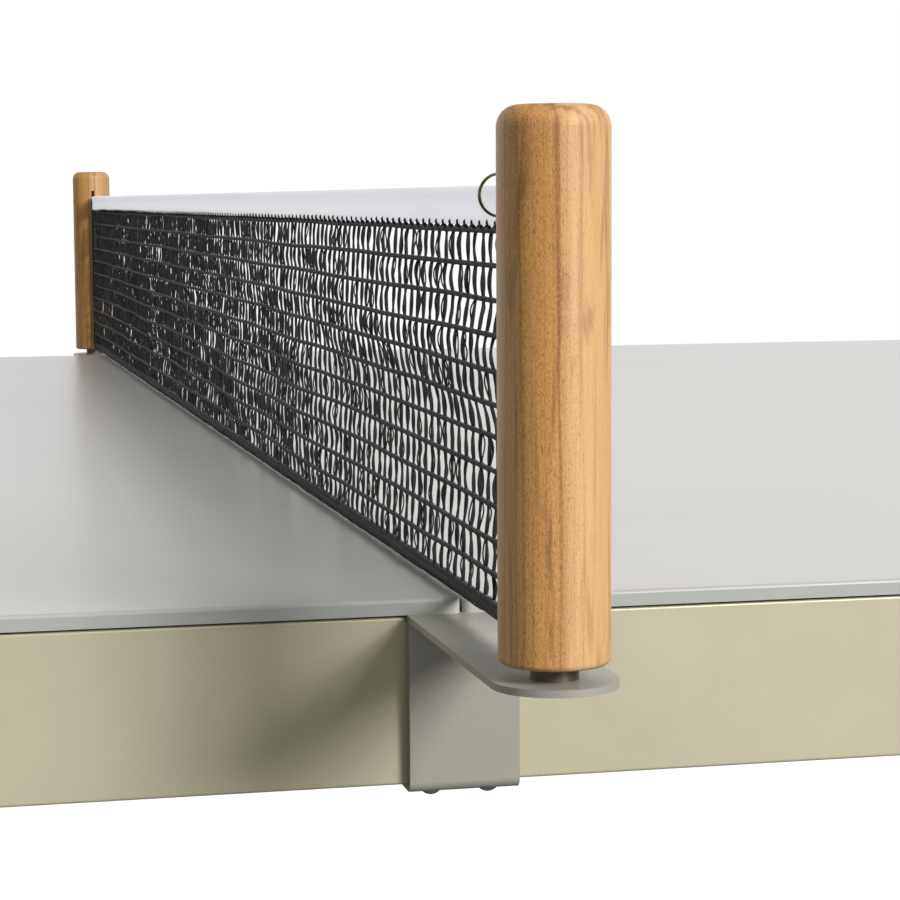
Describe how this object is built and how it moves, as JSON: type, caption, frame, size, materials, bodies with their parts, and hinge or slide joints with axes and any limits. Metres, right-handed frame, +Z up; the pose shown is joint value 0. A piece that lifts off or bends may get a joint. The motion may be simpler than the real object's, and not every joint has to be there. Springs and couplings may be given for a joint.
{
  "type": "ping pong table",
  "caption": "Full-size table tennis table: two laminate halves on a painted steel frame with round wooden legs, and a black net between two round wooden posts on steel arms.",
  "frame": {"origin": "on the floor, under the middle of the net", "axes": "+X along the table's length, +Y across it along the net, +Z up"},
  "size_m": [2.74, 1.829, 0.937],
  "materials": {
    "laminate": "satin warm grey compact laminate",
    "frame_paint": "satin champagne-khaki powder coat",
    "bracket_paint": "satin warm grey powder coat",
    "dark_steel": "blackened steel",
    "zinc_steel": "bright zinc plate",
    "teak": "oiled open-grain hardwood",
    "net_thread": "matt black knitted thread",
    "tape_cotton": "white woven band",
    "rod_fibreglass": "matt dark",
    "antique_brass": "aged brass wire",
    "foot_nylon": "matt black moulded",
    "seal_rubber": "matt black"
  },
  "bodies": {
    "table": {"apron_far": "frame_paint", "apron_gaskets": "seal_rubber", "apron_left": "frame_paint", "apron_near": "frame_paint", "apron_right": "frame_paint", "beam_bolts": "zinc_steel", "beam_pads": "seal_rubber", "brace_screws": "zinc_steel", "bracket_arm_far": "bracket_paint", "bracket_arm_near": "bracket_paint", "bracket_block_far": "dark_steel", "bracket_block_near": "dark_steel", "bracket_plate_far": "bracket_paint", "bracket_plate_near": "bracket_paint", "bracket_screws": "zinc_steel", "centre_beam": "frame_paint", "corner_brace_1": "frame_paint", "corner_brace_2": "frame_paint", "corner_brace_3": "frame_paint", "corner_brace_4": "frame_paint", "cross_beam_left": "frame_paint", "cross_beam_right": "frame_paint", "leg_1": "teak", "leg_2": "teak", "leg_3": "teak", "leg_4": "teak", "leg_bolts": "zinc_steel", "leg_ferrules": "frame_paint", "spigot_far": "dark_steel", "spigot_near": "dark_steel", "stringers": "frame_paint", "top_left": "laminate", "top_right": "laminate", "top_screws": "zinc_steel", "top_tabs": "frame_paint"},
    "net_set": {"eyelet": "antique_brass", "net_cord": "tape_cotton", "net_edge_far": "net_thread", "net_edge_near": "net_thread", "net_hem": "net_thread", "net_mesh": "net_thread", "net_rods": "rod_fibreglass", "net_tape": "tape_cotton", "post_far": "teak", "post_near": "teak", "post_sleeves": "zinc_steel"},
    "ring": {"ring": "antique_brass"},
    "foot_1": {"foot_pad_1": "foot_nylon", "foot_sole_1": "seal_rubber"},
    "stem_1": {"foot_stem_1": "zinc_steel"},
    "foot_2": {"foot_pad_2": "foot_nylon", "foot_sole_2": "seal_rubber"},
    "stem_2": {"foot_stem_2": "zinc_steel"},
    "foot_3": {"foot_pad_3": "foot_nylon", "foot_sole_3": "seal_rubber"},
    "stem_3": {"foot_stem_3": "zinc_steel"},
    "foot_4": {"foot_pad_4": "foot_nylon", "foot_sole_4": "seal_rubber"},
    "stem_4": {"foot_stem_4": "zinc_steel"}
  },
  "joints": [
    {"name": "net_lift", "type": "slide", "parent": "table", "child": "net_set", "axis": [0, 0, 1], "range_m": [0, 0.06]},
    {"name": "ring_turn", "type": "hinge", "parent": "net_set", "child": "ring", "pos_m": [0, -0.84, 0.9088], "axis": [0, 0, 1], "range_deg": [-15, 15]},
    {"name": "foot_1_out", "type": "slide", "parent": "table", "child": "foot_1", "axis": [0, 0, -1], "range_m": [0, 0.012]},
    {"name": "stem_1_turn", "type": "hinge", "parent": "foot_1", "child": "stem_1", "pos_m": [1.3105, 0.703, 0.02], "axis": [0, 0, -1], "range_deg": [0, 2880]},
    {"name": "foot_2_out", "type": "slide", "parent": "table", "child": "foot_2", "axis": [0, 0, -1], "range_m": [0, 0.012]},
    {"name": "stem_2_turn", "type": "hinge", "parent": "foot_2", "child": "stem_2", "pos_m": [-1.3105, 0.703, 0.02], "axis": [0, 0, -1], "range_deg": [0, 2880]},
    {"name": "foot_3_out", "type": "slide", "parent": "table", "child": "foot_3", "axis": [0, 0, -1], "range_m": [0, 0.012]},
    {"name": "stem_3_turn", "type": "hinge", "parent": "foot_3", "child": "stem_3", "pos_m": [-1.3105, -0.703, 0.02], "axis": [0, 0, -1], "range_deg": [0, 2880]},
    {"name": "foot_4_out", "type": "slide", "parent": "table", "child": "foot_4", "axis": [0, 0, -1], "range_m": [0, 0.012]},
    {"name": "stem_4_turn", "type": "hinge", "parent": "foot_4", "child": "stem_4", "pos_m": [1.3105, -0.703, 0.02], "axis": [0, 0, -1], "range_deg": [0, 2880]}
  ],
  "couplings": [
    {"joint": "stem_1_turn", "follows": "foot_1_out", "rad_per_m": 4188.8},
    {"joint": "stem_2_turn", "follows": "foot_2_out", "rad_per_m": 4188.8},
    {"joint": "stem_3_turn", "follows": "foot_3_out", "rad_per_m": 4188.8},
    {"joint": "stem_4_turn", "follows": "foot_4_out", "rad_per_m": 4188.8}
  ]
}
